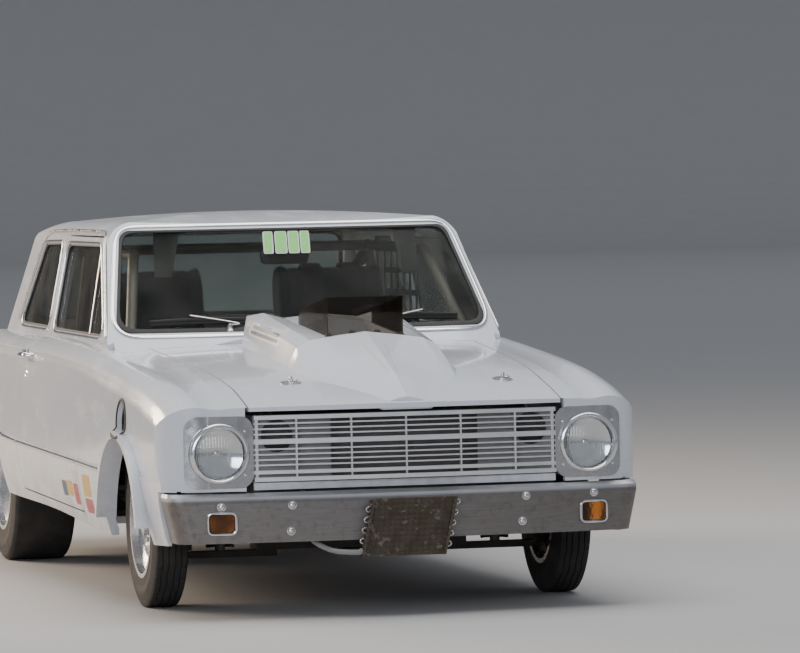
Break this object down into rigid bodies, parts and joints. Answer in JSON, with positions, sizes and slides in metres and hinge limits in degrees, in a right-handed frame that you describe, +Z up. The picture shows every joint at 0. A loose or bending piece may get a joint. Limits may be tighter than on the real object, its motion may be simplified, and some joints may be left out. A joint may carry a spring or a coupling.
{
  "type": "drag racing car",
  "caption": "Two-door sedan drag car with doors, scooped bonnet and boot lid that open, steered front wheels, roll cage and wide rear tyres.",
  "frame": {"origin": "on the ground, below the middle of the overall box", "axes": "+Z up, the car points to -Y, +X is the car's left side"},
  "size_m": [1.759, 4.6518, 1.376],
  "materials": {
    "paint": "aged gloss white",
    "underpaint": "dull grey",
    "chrome": "worn bright",
    "brushed": "dull brushed",
    "alloy": "satin",
    "iron": "matt",
    "tyre": "worn",
    "glass": "clear",
    "smoked": "smoked",
    "amber": "ribbed",
    "red": "ribbed",
    "cloth": "woven",
    "strap": "webbing",
    "dashboard": "grained",
    "cage": "satin"
  },
  "bodies": {
    "body": {"body_shell": "paint", "under_body": "underpaint", "fender_l": "paint", "fender_r": "paint", "windscreen": "glass", "rear_window": "glass", "quarter_glass": "glass", "front_bumper": "brushed", "rear_bumper": "chrome", "grille": "chrome", "headlamps": "chrome", "radiator": "underpaint", "oil_cooler": "alloy", "engine": "iron", "rear_axle": "iron", "front_subframe": "iron", "exhaust": "iron", "front_panel": "underpaint", "lamp_lenses": "glass", "indicators": "amber", "tail_lamps": "red", "seat_l": "cloth", "seat_r": "cloth", "dash": "dashboard", "steering_column": "iron", "roll_cage": "cage", "window_net": "strap"},
    "steering_wheel": {"steering_wheel": "dashboard"},
    "door_l": {"door_l": "paint", "door_glass_l": "glass"},
    "door_r": {"door_r": "paint", "door_glass_r": "glass"},
    "bonnet": {"bonnet": "paint", "wind_deflector": "smoked"},
    "boot_lid": {"boot_lid": "paint"},
    "knuckle_l": {"knuckle_l": "iron"},
    "knuckle_r": {"knuckle_r": "iron"},
    "wheel_fl": {"tyre_fl": "tyre", "rim_fl": "alloy"},
    "wheel_fr": {"tyre_fr": "tyre", "rim_fr": "alloy"},
    "wheel_rl": {"tyre_rl": "tyre", "rim_rl": "alloy"},
    "wheel_rr": {"tyre_rr": "tyre", "rim_rr": "alloy"}
  },
  "joints": [
    {"name": "steer_l", "type": "hinge", "parent": "body", "child": "knuckle_l", "pos_m": [0.628, -1.486, 0.287], "axis": [0, 0, 1], "range_deg": [-28, 28]},
    {"name": "steer_r", "type": "hinge", "parent": "body", "child": "knuckle_r", "pos_m": [-0.628, -1.486, 0.287], "axis": [0, 0, 1], "range_deg": [-28, 28]},
    {"name": "steering_wheel", "type": "hinge", "parent": "body", "child": "steering_wheel", "pos_m": [0.36, -0.296, 0.85], "axis": [0, 0.9272, 0.3746], "range_deg": [-336, 336]},
    {"name": "wheel_fl", "type": "hinge", "parent": "knuckle_l", "child": "wheel_fl", "pos_m": [0.724, -1.486, 0.287], "axis": [1, 0, 0], "continuous": true},
    {"name": "wheel_fr", "type": "hinge", "parent": "knuckle_r", "child": "wheel_fr", "pos_m": [-0.724, -1.486, 0.287], "axis": [1, 0, 0], "continuous": true},
    {"name": "wheel_rl", "type": "hinge", "parent": "body", "child": "wheel_rl", "pos_m": [0.678, 1.295, 0.33], "axis": [1, 0, 0], "continuous": true},
    {"name": "wheel_rr", "type": "hinge", "parent": "body", "child": "wheel_rr", "pos_m": [-0.678, 1.295, 0.33], "axis": [1, 0, 0], "continuous": true},
    {"name": "door_l", "type": "hinge", "parent": "body", "child": "door_l", "pos_m": [0.862, -0.701, 0.6], "axis": [0, 0, -1], "range_deg": [0, 65]},
    {"name": "door_r", "type": "hinge", "parent": "body", "child": "door_r", "pos_m": [-0.862, -0.701, 0.6], "axis": [0, 0, 1], "range_deg": [0, 65]},
    {"name": "bonnet", "type": "hinge", "parent": "body", "child": "bonnet", "pos_m": [0, -0.84, 0.899], "axis": [-1, 0, 0], "range_deg": [0, 45]},
    {"name": "boot_lid", "type": "hinge", "parent": "body", "child": "boot_lid", "pos_m": [0, 1.575, 0.922], "axis": [1, 0, 0], "range_deg": [0, 60]}
  ],
  "couplings": [
    {"joint": "steer_r", "follows": "steer_l", "ratio": 1},
    {"joint": "steering_wheel", "follows": "steer_l", "ratio": 12}
  ]
}
